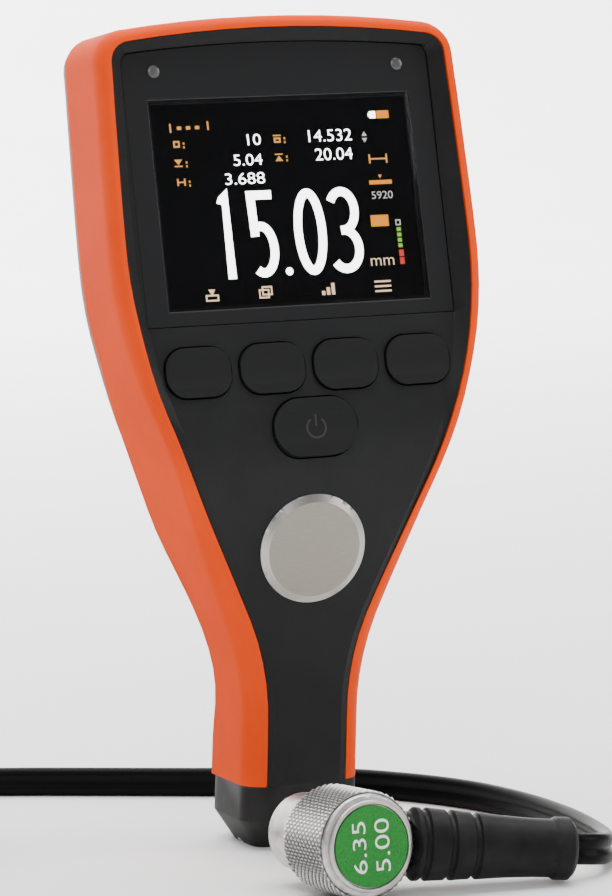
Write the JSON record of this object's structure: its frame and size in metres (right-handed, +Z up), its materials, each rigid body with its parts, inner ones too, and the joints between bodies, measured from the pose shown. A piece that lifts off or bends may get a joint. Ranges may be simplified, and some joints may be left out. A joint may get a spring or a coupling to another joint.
{
  "type": "ultrasonic thickness gauge",
  "caption": "Handheld ultrasonic thickness gauge standing on its base, with a colour display, press keys and a knurled transducer on a twin lead.",
  "frame": {"origin": "middle of the base cap's resting face", "axes": "+Z up along the standing gauge, -Y towards which the display looks, +X to the right as the display is read"},
  "size_m": [0.1654, 0.1393, 0.1464],
  "materials": {
    "casing": "fine moulded grain",
    "band": "soft matt elastomer, orange",
    "panel": "smooth black",
    "window": "polished, tinted",
    "screen": "dark display face",
    "lens": "smoky clear",
    "key_rubber": "satin",
    "disc_steel": "ground",
    "screw_steel": "bright zinc",
    "board": "green solder mask",
    "contact": "gold plated",
    "cell": "printed sleeve",
    "connector": "satin plated",
    "insulator": "smooth",
    "probe_steel": "bead blasted",
    "label": "anodised green",
    "wear_resin": "lapped resin",
    "cork": "cork",
    "ceramic": "silvered ceramic",
    "soft_black": "matt",
    "lead_jacket": "satin"
  },
  "bodies": {
    "gauge": {"front_casing": "casing", "rear_casing": "casing", "bumper_band": "band", "base_cap": "casing", "cap_screws": "screw_steel", "casing_screws": "screw_steel", "display_panel": "panel", "display_window": "window", "display_gasket": "soft_black", "lcd_module": "screen", "indicator_lenses": "lens", "main_board": "board", "board_screws": "screw_steel", "key_domes": "contact", "beeper": "panel", "zero_disc": "disc_steel", "battery_1": "cell", "battery_2": "cell", "contact_springs": "screw_steel", "contact_plates": "contact", "cover_pin": "screw_steel", "cover_seal": "soft_black", "socket_send": "connector", "socket_receive": "connector", "socket_cores": "insulator", "probe_shell": "probe_steel", "probe_cap": "probe_steel", "probe_label": "label", "probe_nose": "probe_steel", "wear_faces": "wear_resin", "sound_barrier": "cork", "probe_crystals": "ceramic", "probe_backing": "soft_black", "cable_boot": "soft_black", "lead": "lead_jacket", "lead_coil": "lead_jacket", "lead_plug": "soft_black", "plug_barrels": "connector", "plug_pins": "contact"},
    "soft_key_1": {"soft_key_1": "key_rubber"},
    "soft_key_2": {"soft_key_2": "key_rubber"},
    "soft_key_3": {"soft_key_3": "key_rubber"},
    "soft_key_4": {"soft_key_4": "key_rubber"},
    "power_key": {"power_key": "key_rubber"},
    "battery_cover": {"battery_cover": "casing"},
    "cover_screw": {"cover_screw": "screw_steel"}
  },
  "joints": [
    {"name": "soft_key_1_press", "type": "slide", "parent": "gauge", "child": "soft_key_1", "axis": [0, 0.9799, -0.1994], "range_m": [0, 0.0005], "stiffness_N_per_m": 300},
    {"name": "soft_key_2_press", "type": "slide", "parent": "gauge", "child": "soft_key_2", "axis": [0, 0.9799, -0.1994], "range_m": [0, 0.0005], "stiffness_N_per_m": 300},
    {"name": "soft_key_3_press", "type": "slide", "parent": "gauge", "child": "soft_key_3", "axis": [0, 0.9799, -0.1994], "range_m": [0, 0.0005], "stiffness_N_per_m": 300},
    {"name": "soft_key_4_press", "type": "slide", "parent": "gauge", "child": "soft_key_4", "axis": [0, 0.9799, -0.1994], "range_m": [0, 0.0005], "stiffness_N_per_m": 300},
    {"name": "power_key_press", "type": "slide", "parent": "gauge", "child": "power_key", "axis": [0, 0.9799, -0.1994], "range_m": [0, 0.0005], "stiffness_N_per_m": 300},
    {"name": "battery_cover_hinge", "type": "hinge", "parent": "gauge", "child": "battery_cover", "pos_m": [0, 0.01371, 0.12992], "axis": [1, 0, 0], "range_deg": [0, 85]},
    {"name": "cover_screw_turn", "type": "hinge", "parent": "battery_cover", "child": "cover_screw", "pos_m": [0, 0.00211, 0.06789], "axis": [0, 0.9799, -0.1994], "range_deg": [0, 90]}
  ]
}
